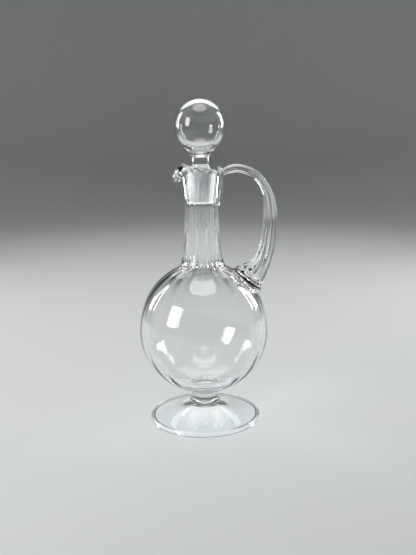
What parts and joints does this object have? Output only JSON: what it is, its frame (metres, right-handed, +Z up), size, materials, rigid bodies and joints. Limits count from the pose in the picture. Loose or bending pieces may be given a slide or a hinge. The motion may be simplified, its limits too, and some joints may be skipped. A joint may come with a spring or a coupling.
{
  "type": "glass carafe",
  "caption": "Clear glass jug with a globe body on a short stem and spreading foot, a narrow neck with a turned-over spout, a reeded loop handle and a hollow ball stopper with a ground peg.",
  "frame": {"origin": "on the standing surface, under the middle of the bounding box; the jug's own axis stands 4.25 mm to the -X side of it, because the handle reaches further out than the globe", "axes": "+Z up along the jug's axis, +X towards the handle, -X towards the spout"},
  "size_m": [0.1248, 0.1164, 0.2872],
  "materials": {
    "clear_glass": "clear, fire-polished, with soft vertical ribs",
    "ground_glass": "matt, ground"
  },
  "bodies": {
    "jug": {"foot": "clear_glass", "stem_collar": "clear_glass", "stem": "clear_glass", "bottle": "clear_glass", "handle_pad": "clear_glass", "handle": "clear_glass"},
    "stopper": {"stopper_peg": "ground_glass", "stopper_ball": "clear_glass"}
  },
  "joints": [
    {"name": "stopper_lift", "type": "slide", "parent": "jug", "child": "stopper", "axis": [0, 0, 1], "range_m": [0, 0.045]}
  ]
}
